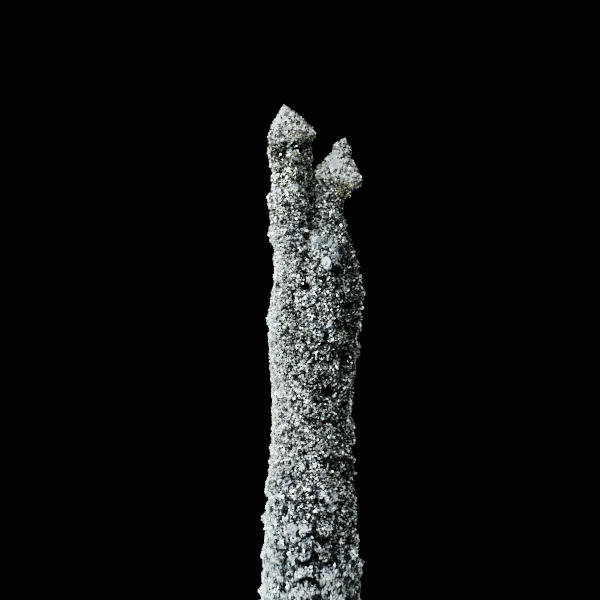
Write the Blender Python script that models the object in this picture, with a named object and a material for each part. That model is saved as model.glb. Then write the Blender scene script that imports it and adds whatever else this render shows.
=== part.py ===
"""A pyrite crystal cluster: a slender column of stems grown together, forking at the top into two.

Each of the two top stems ends in an octahedral crystal. Lumps, ledges and pits shape the column below
them, a coat of small crystal points covers it, and larger octahedra stand out of that coat here and there.
Metres, +Z up. The column stands on its flat cut foot, with the origin at the middle of its outline.
The two tips stand side by side along X, and the front of the cluster faces -Y.
"""

import math
import random

import bmesh
import bpy
from mathutils import Matrix, Vector, noise

MM = 0.001
SEED = 12

# Driving dimensions.
HEIGHT = 80.0 * MM
COAT_FACES = 3750  # the flat faces that the skin is cut into
COAT_POINTS = 0.55  # share of them that a crystal point stands on

# Each stem as (x, y, z, radius) in millimetres, from its buried foot to its top.
STEM_SIDES = 24
STEM_STEPS = 5  # rings between two stations
STEMS = {
    "left_stem": (
        (-2.4, -0.2, -3.0, 4.7),
        (-2.6, -0.2, 10.0, 4.4),
        (-2.6, -0.1, 21.0, 3.6),
        (-2.3, 0.0, 35.5, 2.9),
        (-2.5, 0.0, 50.0, 3.2),
        (-2.3, 0.0, 57.5, 2.6),
        (-2.9, 0.0, 64.5, 2.9),
        (-3.0, 0.0, 70.5, 2.35),
        (-3.3, 0.0, 73.6, 2.95),
        (-3.1, 0.0, 76.0, 2.2),
    ),
    "right_stem": (
        (2.3, -0.6, -3.0, 4.5),
        (2.3, -0.6, 10.0, 4.1),
        (2.2, -0.4, 22.0, 3.3),
        (2.2, -0.3, 38.0, 3.1),
        (2.3, 0.0, 52.0, 2.9),
        (2.2, 0.3, 61.0, 2.3),
        (2.1, 0.4, 65.0, 1.95),
        (2.8, 0.4, 68.5, 2.5),
        (3.4, 0.4, 70.8, 2.1),
    ),
    "front_stem": (
        (0.0, -2.1, -3.0, 4.5),
        (0.0, -2.1, 12.0, 3.8),
        (0.3, -1.8, 26.0, 3.2),
        (0.7, -1.8, 42.0, 3.1),
        (1.6, -1.9, 53.0, 2.9),
        (1.9, -1.8, 59.0, 2.4),
        (1.9, -1.5, 61.6, 1.4),
    ),
    "shoulder_stem": (
        (2.6, 1.7, -3.0, 4.4),
        (2.7, 1.9, 12.0, 3.9),
        (2.6, 1.9, 31.0, 2.8),
        (3.0, 1.8, 44.0, 2.9),
        (3.6, 1.7, 51.5, 3.2),
        (3.4, 1.7, 57.5, 2.8),
        (2.9, 1.8, 63.2, 1.3),
    ),
    "back_stem": (
        (-1.6, 2.1, -3.0, 4.2),
        (-1.6, 2.1, 14.0, 3.7),
        (-1.4, 2.1, 34.0, 3.1),
        (-1.2, 2.2, 50.0, 2.9),
        (-1.3, 2.1, 57.5, 2.4),
        (-1.4, 1.9, 60.5, 1.5),
    ),
}

# The voxels that melt the stems into one body.
VOXEL = 0.5 * MM
MELT_ROUNDS = 5

# The body's rounded lumps, the smaller knobs on them, and its overhanging ledges.
LUMP_WIDTH, LUMP_HEIGHT = 3.6 * MM, 0.55 * MM
KNOB_WIDTH, KNOB_HEIGHT = 1.9 * MM, 0.34 * MM
LUMP_MEAN = 0.72  # the mean of lump(), so that lumps swell and hollow the body alike
LEDGE_PITCH, LEDGE_HEIGHT = 4.2 * MM, 0.38 * MM
LEDGE_WANDER = 2.6  # how far a ledge wanders up and down round the column, in pitches

# Pits as (degrees round from the front towards +X, z in mm, radius in mm, depth in mm).
PITS = (
    (-11.0, 54.4, 1.5, 0.9),
    (24.0, 54.8, 1.3, 0.7),
    (-27.0, 51.4, 1.2, 0.7),
    (43.0, 45.6, 2.2, 0.9),
    (0.0, 15.0, 2.0, 0.8),
    (12.0, 19.2, 1.8, 0.7),
)
HIDDEN_PITS = 16  # the sides and the back have as many to the height
HIDDEN_PIT_ARC = (75.0, 285.0)

# How far a crystal point of the coat stands up, as a share of its width.
COAT_RISE = (0.22, 0.5)

# Octahedra as (top corner in mm, its direction from the middle, turn about that direction in degrees,
# reach from the middle to a corner in mm).
TIPS = {
    "left_tip": ((-4.06, -1.0, HEIGHT / MM), (-0.98, -1.0, 4.48), -39.0, 4.69),
    "right_tip": ((4.06, -0.28, 74.5), (0.56, -0.63, 4.48), -41.5, 4.56),
    "right_tip_cap": ((4.62, -0.16, 75.4), (0.56, -0.46, 2.31), -57.0, 2.42),
}

# Crystals that grow on the tips, on the collar under the left one, and on the front lobe.
SIDE_CRYSTALS = {
    "left_tip_knob": ((-5.75, -1.0, 77.2), (-0.4, -0.2, 1.0), 10.0, 0.8),
    "left_collar_block": ((-2.3, -3.3, 74.0), (0.2, -0.5, 1.0), 25.0, 1.5),
    "right_corner_knob": ((6.55, -2.1, 70.0), (0.4, -0.2, 1.0), -20.0, 1.15),
    "right_collar_block": ((4.6, -2.5, 68.6), (0.3, -0.4, 1.0), -35.0, 1.5),
    "lobe_left_block": ((1.2, -3.9, 61.6), (-0.2, -0.4, 1.0), -30.0, 1.4),
    "lobe_right_block": ((2.9, -3.6, 61.2), (0.2, -0.4, 1.0), -52.0, 1.3),
    "lobe_low_block": ((2.6, -4.7, 59.2), (0.1, -0.5, 1.0), -38.0, 1.35),
}

# The larger crystals that stand out of the coat all over the column.
STRAYS = 46
STRAY_REACH = (0.7, 1.1)  # mm
STRAY_RISE = 0.15  # how far a stray's middle stands out of the skin, as a share of its reach
STRAY_SPACING = 3.2 * MM
STRAY_HEIGHTS = (4.0 * MM, 68.0 * MM)


def clear_scene():
    for old in list(bpy.data.objects):
        bpy.data.objects.remove(old, do_unlink=True)


def linked(name, data):
    made = bpy.data.objects.new(name, data)
    bpy.context.scene.collection.objects.link(made)
    return made


def evaluated_mesh(obj):
    """The object's mesh with its modifiers applied, as new mesh data. The object itself is removed."""
    graph = bpy.context.evaluated_depsgraph_get()
    mesh = bpy.data.meshes.new_from_object(obj.evaluated_get(graph))
    bpy.data.objects.remove(obj)
    return mesh


def smooth_between(stations, share):
    """A point on the Catmull-Rom curve through the stations, with share running from 0 to 1."""
    place = share * (len(stations) - 1)
    first = min(int(place), len(stations) - 2)
    t = place - first
    p0, p1, p2, p3 = (stations[min(max(first + step, 0), len(stations) - 1)] for step in (-1, 0, 1, 2))
    return [
        0.5 * (2 * b + (c - a) * t + (2 * a - 5 * b + 4 * c - d) * t**2 + (3 * b - a - 3 * c + d) * t**3)
        for a, b, c, d in zip(p0, p1, p2, p3)
    ]


def add_stem(bm, stations):
    """Lofts one round stem through its stations, closed at both ends."""
    steps = STEM_STEPS * (len(stations) - 1)
    rings = []
    for step in range(steps + 1):
        x, y, z, radius = smooth_between(stations, step / steps)
        circle = bmesh.ops.create_circle(bm, cap_ends=False, segments=STEM_SIDES, radius=radius * MM)
        bmesh.ops.translate(bm, verts=circle["verts"], vec=Vector((x, y, z)) * MM)
        rings.append(circle["verts"])
    for low, high in zip(rings, rings[1:]):
        edges = {edge for vert in (*low, *high) for edge in vert.link_edges}
        ringed = [edge for edge in edges if set(edge.verts) <= set(low) or set(edge.verts) <= set(high)]
        bmesh.ops.bridge_loops(bm, edges=ringed)
    bm.faces.new(reversed(rings[0]))
    bm.faces.new(rings[-1])


def melted_stems():
    """All stems as one closed body, melted together where they touch."""
    bm = bmesh.new()
    for stations in STEMS.values():
        add_stem(bm, stations)
    bmesh.ops.recalc_face_normals(bm, faces=bm.faces)
    stems = linked("stems", bpy.data.meshes.new("stems"))
    bm.to_mesh(stems.data)
    bm.free()
    remesh = stems.modifiers.new("melt", "REMESH")
    remesh.mode = "VOXEL"
    remesh.voxel_size = VOXEL
    soften = stems.modifiers.new("soften", "SMOOTH")
    soften.factor = 0.5
    soften.iterations = MELT_ROUNDS
    return evaluated_mesh(stems)


def lump(place, width):
    """A height from 0 to 1 that rises to a rounded dome over each cell of a random pattern."""
    nearest = noise.voronoi(place / width)[0][0]
    return math.sqrt(max(0.0, 1.0 - min(1.0, nearest) ** 2))


def ledge(place):
    """A height from -0.5 to 0.5 that swells slowly upwards and then falls back under an overhang."""
    wander = LEDGE_WANDER * noise.noise(Vector((place.x, place.y, place.z * 0.3)) / (6.0 * MM))
    phase = (-place.z / LEDGE_PITCH + wander) % 1.0
    return (phase / 0.25 if phase < 0.25 else (1.0 - phase) / 0.75) - 0.5


def all_pits(rng):
    """The pits of the front, and as many again spread over the sides and the back."""
    pits = list(PITS)
    for number in range(HIDDEN_PITS):
        height = HEIGHT / MM * (0.08 + 0.68 * number / HIDDEN_PITS)
        pits.append((rng.uniform(*HIDDEN_PIT_ARC), height, rng.uniform(1.1, 2.0), rng.uniform(0.5, 0.9)))
    return pits


def pit_depth(place, pits):
    """How deep the pits hollow the body at this place."""
    round_from_front = math.atan2(place.x, -place.y)
    out = math.hypot(place.x, place.y)
    depth = 0.0
    for degrees, height, radius, deepest in pits:
        turn = (round_from_front - math.radians(degrees) + math.pi) % math.tau - math.pi
        away = math.hypot(turn * out, place.z - height * MM) / (radius * MM)
        if away < 1.0:
            depth = max(depth, deepest * MM * (1.0 - away**2) ** 2)
    return depth


def shape_skin(body, pits):
    """Swells the body into lumps, knobs and ledges, and hollows its pits."""
    bm = bmesh.new()
    bm.from_mesh(body)
    bm.normal_update()
    offsets = []
    for vert in bm.verts:
        flatter = Vector((vert.co.x, vert.co.y, vert.co.z * 1.3))
        height = LUMP_HEIGHT * (lump(flatter, LUMP_WIDTH) - LUMP_MEAN)
        height += KNOB_HEIGHT * (lump(flatter + Vector((0.1, 0.2, 0.3)), KNOB_WIDTH) - LUMP_MEAN)
        height += LEDGE_HEIGHT * ledge(vert.co) - pit_depth(vert.co, pits)
        offsets.append(vert.normal * height)
    for vert, offset in zip(bm.verts, offsets):
        vert.co += offset
    bm.to_mesh(body)
    bm.free()


def coarsened(body):
    """The same body in fewer, uneven triangles."""
    triangles = sum(len(polygon.vertices) - 2 for polygon in body.polygons)
    coarse = linked("coarse", body)
    decimate = coarse.modifiers.new("coarsen", "DECIMATE")
    decimate.ratio = COAT_FACES / triangles
    return evaluated_mesh(coarse)


def cut_foot(bm):
    """Cuts the column off flat at z = 0 and closes the cut."""
    everything = [*bm.verts, *bm.edges, *bm.faces]
    bmesh.ops.bisect_plane(bm, geom=everything, plane_co=(0, 0, 0), plane_no=(0, 0, -1), clear_outer=True)
    rim = [edge for edge in bm.edges if edge.is_boundary]
    bmesh.ops.contextual_create(bm, geom=rim)


def stray_places(bm, rng):
    """Well spaced places on the skin for the larger crystals, as (position, normal)."""
    low, high = STRAY_HEIGHTS
    faces = [face for face in bm.faces if low < face.calc_center_median().z < high]
    rng.shuffle(faces)
    places = []
    for face in faces:
        middle = face.calc_center_median()
        if all((middle - other).length > STRAY_SPACING for other, _ in places):
            places.append((middle, face.normal.copy()))
        if len(places) == STRAYS:
            break
    return places


def grow_points(bm, rng):
    """Turns a random share of the skin's faces into small three-sided crystal points."""
    skin = [face for face in bm.faces if face.normal.z > -0.999 and rng.random() < COAT_POINTS]
    rises = [(face.normal.copy(), math.sqrt(face.calc_area()) * rng.uniform(*COAT_RISE)) for face in skin]
    for face, (normal, rise) in zip(skin, rises):
        made = bmesh.ops.poke(bm, faces=[face])
        made["verts"][0].co += normal * rise


def add_octahedron(bm, middle, turn, reach):
    corners = [Vector(axis) * reach * sign for axis in Matrix.Identity(3) for sign in (1, -1)]
    verts = [bm.verts.new(middle + turn @ corner) for corner in corners]
    for x in (0, 1):
        for y in (2, 3):
            for z in (4, 5):
                bm.faces.new((verts[x], verts[y], verts[z]))


def add_pointing_octahedron(bm, top, direction, degrees, reach):
    """An octahedron with its top corner at top, turned about the line from its middle to that corner."""
    up = Vector(direction).normalized()
    turn = Vector((0, 0, 1)).rotation_difference(up).to_matrix() @ Matrix.Rotation(math.radians(degrees), 3, "Z")
    add_octahedron(bm, (Vector(top) - up * reach) * MM, turn, reach * MM)


def add_placed_crystals(bm):
    for crystal in (*TIPS.values(), *SIDE_CRYSTALS.values()):
        add_pointing_octahedron(bm, *crystal)


def add_stray_crystals(bm, places, rng):
    """The larger crystals of the coat, each turned its own way."""
    for place, normal in places:
        reach = rng.uniform(*STRAY_REACH) * MM
        axis = Vector([rng.uniform(-1, 1) for _ in range(3)])
        turn = Matrix.Rotation(rng.uniform(0, math.tau), 3, axis)
        add_octahedron(bm, place + normal * reach * STRAY_RISE, turn, reach)


def joined(body, bm):
    """The body with the crystals in bm fused to it, wherever they cross it and one another."""
    bmesh.ops.recalc_face_normals(bm, faces=bm.faces)
    crystals = linked("crystals", bpy.data.meshes.new("crystals"))
    bm.to_mesh(crystals.data)
    bm.free()
    cluster = linked("cluster", body)
    join = cluster.modifiers.new("join", "BOOLEAN")
    join.operation = "UNION"
    join.use_self = True
    join.object = crystals
    mesh = evaluated_mesh(cluster)
    bpy.data.objects.remove(crystals)
    return mesh


def centre_on_origin(mesh):
    """Moves the mesh level until the middle of its outline is over the origin."""
    xs, ys = ([vert.co[axis] for vert in mesh.vertices] for axis in (0, 1))
    mesh.transform(Matrix.Translation((-(min(xs) + max(xs)) / 2, -(min(ys) + max(ys)) / 2, 0)))


def crystal_material():
    metal = bpy.data.materials.new("crystal_metal")
    metal.use_nodes = True
    shader = metal.node_tree.nodes["Principled BSDF"]
    shader.inputs["Base Color"].default_value = (0.52, 0.56, 0.55, 1.0)
    shader.inputs["Metallic"].default_value = 1.0
    shader.inputs["Roughness"].default_value = 0.4
    return metal


def main():
    clear_scene()
    rng = random.Random(SEED)
    body = melted_stems()
    shape_skin(body, all_pits(rng))
    body = coarsened(body)
    bm = bmesh.new()
    bm.from_mesh(body)
    cut_foot(bm)
    bm.normal_update()
    places = stray_places(bm, rng)
    grow_points(bm, rng)
    bm.to_mesh(body)
    bm.free()

    crystals = bmesh.new()
    add_placed_crystals(crystals)
    add_stray_crystals(crystals, places, rng)
    mesh = joined(body, crystals)
    centre_on_origin(mesh)
    mesh.materials.clear()
    mesh.materials.append(crystal_material())
    linked("crystal_cluster", mesh)


main()
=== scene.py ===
# %% [markdown]
# # A pyrite crystal cluster
#
# Pyrite is an iron sulphide that grows in regular shapes: cubes, octahedra and forms between the two. This
# cluster is a slender column, 80 mm tall. It forks at the top into two stems, each of which carries one
# clean octahedron about 9 mm from corner to corner. Thousands of crystals a third of a millimetre wide
# cover everything below, which gives the column its glitter.
#
# The lesson builds it in layers: a lumpy column, the crisp tips, a coat of small crystals that is scattered
# over both, and a few larger crystals. Every layer is made from numbers and rules alone, so that the same
# script always gives the same cluster.

# %% Load the frame
import math

import bmesh
import bpy
import numpy as np
from mathutils import Matrix, Vector, noise
from mathutils.bvhtree import BVHTree


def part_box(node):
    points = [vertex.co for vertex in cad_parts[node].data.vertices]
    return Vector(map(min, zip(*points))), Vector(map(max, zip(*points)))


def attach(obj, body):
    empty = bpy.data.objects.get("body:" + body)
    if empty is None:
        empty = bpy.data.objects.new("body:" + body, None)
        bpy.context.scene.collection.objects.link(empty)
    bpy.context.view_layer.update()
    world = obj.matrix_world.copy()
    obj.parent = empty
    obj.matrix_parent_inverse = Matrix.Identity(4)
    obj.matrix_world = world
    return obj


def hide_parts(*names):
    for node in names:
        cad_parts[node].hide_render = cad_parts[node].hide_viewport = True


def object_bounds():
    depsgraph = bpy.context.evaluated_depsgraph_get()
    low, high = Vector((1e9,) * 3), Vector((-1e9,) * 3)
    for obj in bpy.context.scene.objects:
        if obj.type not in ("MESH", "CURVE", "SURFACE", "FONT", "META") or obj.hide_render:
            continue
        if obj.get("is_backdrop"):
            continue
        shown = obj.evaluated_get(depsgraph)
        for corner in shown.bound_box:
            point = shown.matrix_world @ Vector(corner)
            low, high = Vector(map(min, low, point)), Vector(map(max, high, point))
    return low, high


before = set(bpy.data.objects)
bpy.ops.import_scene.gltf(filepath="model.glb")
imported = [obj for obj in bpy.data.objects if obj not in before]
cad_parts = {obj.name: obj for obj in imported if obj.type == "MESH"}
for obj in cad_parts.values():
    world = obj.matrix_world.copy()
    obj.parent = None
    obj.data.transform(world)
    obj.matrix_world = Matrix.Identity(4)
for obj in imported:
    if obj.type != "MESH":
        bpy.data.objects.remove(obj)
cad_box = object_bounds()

MM = 0.001
ROOT = "root"
NODE = "crystal_cluster"

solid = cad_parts[NODE]
low, high = (np.array(corner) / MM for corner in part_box(NODE))
print("the solid reaches from", low.round(2), "to", high.round(2), "mm")

# %% [markdown]
# ## Camera
#
# The cluster is seen from the front, level with the middle of the upper part, from far enough away that
# its two tips show hardly any perspective. The picture's frame cuts off the foot.
#
# Many features of the front are placed where they are seen, so the camera comes first. The taller tip's
# highest point is the anchor: it has a known place in the picture and a known place on the solid.

# %% Camera
PICTURE = 600  # the picture's width and height in pixels
PIXEL = 0.14  # how much of the cluster one pixel shows, in mm
TOP_PIXEL = (283.6, 104.0)  # the taller tip's highest point
LENS, SENSOR = 100.0, 36.0

corners = np.array([vertex.co for vertex in solid.data.vertices]) / MM
top_corner = corners[corners[:, 2].argmax()]
distance = PICTURE * PIXEL * LENS / SENSOR
eye = np.array(
    (
        top_corner[0] + (PICTURE / 2 - TOP_PIXEL[0]) * PIXEL,
        -distance,
        top_corner[2] - (PICTURE / 2 - TOP_PIXEL[1]) * PIXEL,
    )
)

camera = bpy.data.objects.new("camera", bpy.data.cameras.new("camera"))
bpy.context.scene.collection.objects.link(camera)
camera.data.lens = LENS
camera.data.sensor_width = SENSOR
camera.data.clip_start = 5 * MM
camera.data.clip_end = 5.0
camera.location = Vector(eye) * MM
camera.rotation_euler = (math.pi / 2, 0, 0)
bpy.context.scene.camera = camera


def sight(x, y):
    """The direction from the camera through a pixel of the picture."""
    return Vector(((x - PICTURE / 2) * PIXEL, distance, (PICTURE / 2 - y) * PIXEL)).normalized()


print("the camera stands at", eye.round(1), "mm")

# %% [markdown]
# ## Tools for shapes
#
# Large meshes are quick to make from arrays, where a loop over faces would take minutes. `mesh_from` takes
# points in millimetres and the corner numbers of every face, and fills a mesh in one go. `evaluated` gives
# the mesh that a stack of modifiers makes.

# %% Tools for shapes
def mesh_from(name, points, faces):
    """A mesh from points in mm and from groups of faces, one array of corner numbers for each group."""
    mesh = bpy.data.meshes.new(name)
    loops = np.concatenate([group.ravel() for group in faces])
    sizes = np.concatenate([np.full(len(group), group.shape[1]) for group in faces])
    mesh.vertices.add(len(points))
    mesh.loops.add(len(loops))
    mesh.polygons.add(len(sizes))
    mesh.vertices.foreach_set("co", (points * MM).astype(np.float32).ravel())
    mesh.loops.foreach_set("vertex_index", loops.astype(np.int32))
    mesh.polygons.foreach_set("loop_start", (np.cumsum(sizes) - sizes).astype(np.int32))
    mesh.update(calc_edges=True)
    mesh.shade_flat()
    return mesh


def linked(name, mesh):
    made = bpy.data.objects.new(name, mesh)
    bpy.context.scene.collection.objects.link(made)
    return made


def evaluated(piece):
    """The mesh that the piece's modifiers make. The piece itself is removed."""
    graph = bpy.context.evaluated_depsgraph_get()
    mesh = bpy.data.meshes.new_from_object(piece.evaluated_get(graph))
    bpy.data.objects.remove(piece)
    return mesh


def points_of(mesh):
    points = np.empty(len(mesh.vertices) * 3, np.float32)
    mesh.vertices.foreach_get("co", points)
    return points.reshape(-1, 3).astype(float) / MM


def normals_of(mesh):
    normals = np.empty(len(mesh.vertices) * 3, np.float32)
    mesh.vertex_normals.foreach_get("vector", normals)
    return normals.reshape(-1, 3).astype(float)


def move_points(mesh, points):
    mesh.vertices.foreach_set("co", (points * MM).astype(np.float32).ravel())
    mesh.update()


print("the solid has", len(points_of(solid.data)), "points")

# %% [markdown]
# ## The three octahedra
#
# Three octahedra end the two stems: one on the taller stem, and one with a smaller crystal on top of it on
# the other. An octahedron has six corners on three equal axes at right angles, so each one is a middle, a
# direction for its top corner, a turn about that direction and a reach. These are the values that the
# solid was made from, with a smaller crystal on top, moved to where the solid's highest point lies.
#
# `share` tells how far out a point lies in an octahedron's own measure. The column stays inside them by it.

# %% The three octahedra
TIPS = {  # top corner in mm, its direction from the middle, turn in degrees, reach in mm
    "left_tip": ((-4.06, -1.0, 80.0), (-0.98, -1.0, 4.48), -39.0, 4.69),
    "right_tip": ((4.06, -0.28, 74.5), (0.56, -0.63, 4.48), -41.5, 4.56),
    "right_tip_cap": ((4.62, -0.16, 75.4), (0.57, -0.4, 1.6), -48.0, 1.75),
}
moved = top_corner - np.array(TIPS["left_tip"][0])


def axes_of(direction, degrees):
    """Three unit axes as the rows of a matrix. The last one points to the top corner."""
    tilt = Vector((0, 0, 1)).rotation_difference(Vector(direction).normalized()).to_matrix()
    turn = Matrix.Rotation(math.radians(degrees), 3, "Z")
    return np.array(tilt @ turn).T


class Octahedron:
    def __init__(self, top, direction, degrees, reach):
        self.axes = axes_of(direction, degrees)
        self.reach = reach
        self.middle = np.array(top) + moved - self.axes[2] * reach

    def share(self, points):
        """0 at the middle, 1 on the surface, more outside."""
        return np.abs((points - self.middle) @ self.axes.T).sum(1) / self.reach


tips = {name: Octahedron(*values) for name, values in TIPS.items()}
for name, tip in tips.items():
    print(name, "has its middle at", tip.middle.round(2), "mm")

# %% [markdown]
# ## The column
#
# Under its coat, the column is a bundle of stems that melted together, swollen into lumps. The solid from
# the frame already has those lumps, with coarse crystal points on them. A voxel remesh turns it into an
# even net of small squares, and a few rounds of smoothing take the coarse points down to soft swellings.
#
# Sculpting this by hand would give the same result more slowly. A displacement texture would leave its
# shape to the renderer, and the cluster has to keep it as a mesh.

# %% The column's net
COLUMN_VOXEL = 0.26  # the side of a square in the net, in mm
COLUMN_SOFTENING = 7  # rounds of smoothing
CUT_TRIM = 0.25  # this much of the rounded foot is trimmed, so that the cut is flat with a sharp rim

column_draft = linked("column_draft", solid.data.copy())
remesh = column_draft.modifiers.new("net", "REMESH")
remesh.mode = "VOXEL"
remesh.voxel_size = COLUMN_VOXEL * MM
soften = column_draft.modifiers.new("soften", "SMOOTH")
soften.factor = 0.5
soften.iterations = COLUMN_SOFTENING
column_mesh = evaluated(column_draft)

bm = bmesh.new()
bm.from_mesh(column_mesh)
bmesh.ops.bisect_plane(
    bm,
    geom=[*bm.verts, *bm.edges, *bm.faces],
    plane_co=(0, 0, CUT_TRIM * MM),
    plane_no=(0, 0, -1),
    clear_outer=True,
)
rim = [edge for edge in bm.edges if edge.is_boundary]
for vert in {vert for edge in rim for vert in edge.verts}:
    vert.co.z = 0.0
bmesh.ops.triangle_fill(bm, edges=rim, use_beauty=True, normal=(0, 0, -1))
bm.to_mesh(column_mesh)
bm.free()
print("the column's net has", len(column_mesh.polygons), "faces")

# %% [markdown]
# Under its coat the surface is knobby. Knobs are domes over the cells of a random pattern, so that each
# one meets the next in a crease, as the heads of a cauliflower do. Near the foot there are ledges as well:
# short rows that lean outwards towards the foot and end in an undercut lip, like worn shingles.
#
# Both are functions that give a value for any place. The net's points ask them for their heights, and the
# crystals ask later where the ledges are. `smoothstep` fades one thing into another, here and further on.

# %% Knobs and ledges
KNOB_WIDTH = 1.15  # mm
KNOB_LEVEL = 0.72  # the part of a knob's height that lies below the column's own surface
KNOB_SQUASH = 1.25  # how many times as wide as tall a knob is
LEDGE_PITCH = 2.7  # from one ledge up to the next, in mm
LEDGE_WANDER = 1.6  # how far a ledge wanders up and down round the column, in pitches
LIP = 0.16  # the share of a ledge's pitch that its lip takes
FOOT_ENDS, FOOT_FULL = 24.0, 10.0  # heights where the foot's ledges and long crystals end, and are full


def dome(place, width):
    """A height from 0 to 1 that rises to a rounded dome over each cell of a random pattern."""
    nearest = noise.voronoi(Vector(place) / width)[0][0]
    return math.sqrt(max(0.0, 1.0 - min(1.0, nearest) ** 2))


def knobs(points, width):
    flatter = points * (1.0, 1.0, KNOB_SQUASH)
    return np.array([dome(place, width) for place in flatter]) - KNOB_LEVEL


def ledges(points):
    """0 in the undercut below each row's lip, 1 on the lip, and falling off upwards to the next row."""
    wobble = np.array([noise.noise(Vector((x, y, z * 0.5)) * 0.34) for x, y, z in points])
    rise = (points[:, 2] / LEDGE_PITCH + wobble * LEDGE_WANDER) % 1.0
    return np.where(rise < LIP, rise / LIP, (1.0 - rise) / (1.0 - LIP))


def smoothstep(values, start, end):
    """0 up to the start, 1 from the end on, and an even rise between them."""
    t = np.clip((values - start) / (end - start), 0.0, 1.0)
    return t * t * (3 - 2 * t)


def foot_share(z):
    """1 at the foot and 0 above it."""
    return smoothstep(z, FOOT_ENDS, FOOT_FULL)


on_axis = np.array([(0.0, 0.0, height) for height in range(0, 80, 4)])
print("knobs up the middle:", knobs(on_axis, KNOB_WIDTH).round(2))

# %% [markdown]
# Swellings and dents are larger than knobs, a bump or a bowl pressed into the surface. Those at the front
# have chosen places, such as the stack of bulbs that runs down the left stem, the valley between the stems
# and the deep holes below the fork. They could be sculpted, but a list can be read and changed line by line.

# %% Places of swellings and dents
SWELLINGS = (  # x and y in pixels, radius and height in mm
    # left stem, down to its lobe
    (297, 156, 1.0, 0.35), (275, 170, 1.2, 0.35), (293, 170, 1.3, 0.45), (294, 192, 1.2, 0.45),
    (293, 203, 1.0, 0.35), (281, 207, 1.3, 0.2), (298, 219, 1.0, 0.35), (294, 268, 1.0, 0.35),
    # across the fork
    (308, 169, 0.9, 0.5), (309, 177, 0.9, 0.5), (314, 173, 0.9, 0.5), (315, 181, 0.9, 0.5),
    # right stem and the lobes below it
    (330, 213, 1.6, 0.4), (341, 217, 0.8, 0.45), (343, 229, 0.9, 0.35), (325, 228, 1.2, 0.3),
    (318, 242, 1.2, 0.45), (333, 244, 1.1, 0.5), (336, 256, 0.9, 0.3), (326, 262, 0.9, 0.35),
    # shoulder and right edge
    (301, 279, 0.9, 0.35), (301, 295, 0.9, 0.3), (347, 286, 0.8, 0.35), (360, 292, 1.0, 0.5),
    (362, 315, 1.0, 0.4), (355, 312, 0.9, 0.35), (330, 320, 1.3, 0.3), (340, 338, 1.6, 0.4),
    (327, 349, 0.8, 0.35), (335, 366, 0.9, 0.35), (333, 373, 0.8, 0.35), (330, 382, 1.2, 0.35),
    # middle
    (307, 364, 0.9, 0.3), (304, 395, 0.9, 0.3), (312, 401, 0.8, 0.35), (332, 408, 1.2, 0.35),
    (345, 421, 0.7, 0.3), (310, 432, 0.9, 0.4), (340, 452, 1.0, 0.3), (297, 455, 0.9, 0.3),
    (313, 457, 0.7, 0.3), (318, 468, 1.0, 0.3), (308, 490, 0.7, 0.3), (341, 490, 0.6, 0.3),
    # two broad ones low on the right
    (326, 440, 3.0, 0.55), (330, 487, 2.6, 0.55),
    # foot
    (325, 497, 0.9, 0.45), (319, 508, 0.7, 0.45), (333, 507, 0.6, 0.45), (343, 507, 0.8, 0.4),
    (354, 514, 0.6, 0.35), (287, 519, 0.5, 0.3), (331, 519, 0.7, 0.35), (340, 523, 0.7, 0.35),
    (303, 524, 0.5, 0.35), (293, 529, 0.9, 0.4), (304, 531, 0.7, 0.35), (326, 530, 1.1, 0.5),
    (336, 534, 0.6, 0.4), (311, 541, 0.65, 0.5), (283, 542, 0.7, 0.35), (343, 542, 0.6, 0.35),
    (327, 545, 0.7, 0.5), (282, 556, 0.6, 0.35), (294, 555, 0.8, 0.5), (303, 556, 0.8, 0.45),
    (358, 563, 0.7, 0.3), (343, 566, 0.6, 0.35), (302, 571, 0.8, 0.5), (310, 571, 0.8, 0.5),
    (331, 573, 1.5, 0.5), (290, 586, 0.5, 0.35), (297, 591, 0.8, 0.45), (306, 590, 0.8, 0.5),
    (312, 594, 0.7, 0.5), (336, 592, 1.0, 0.35),
)
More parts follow.
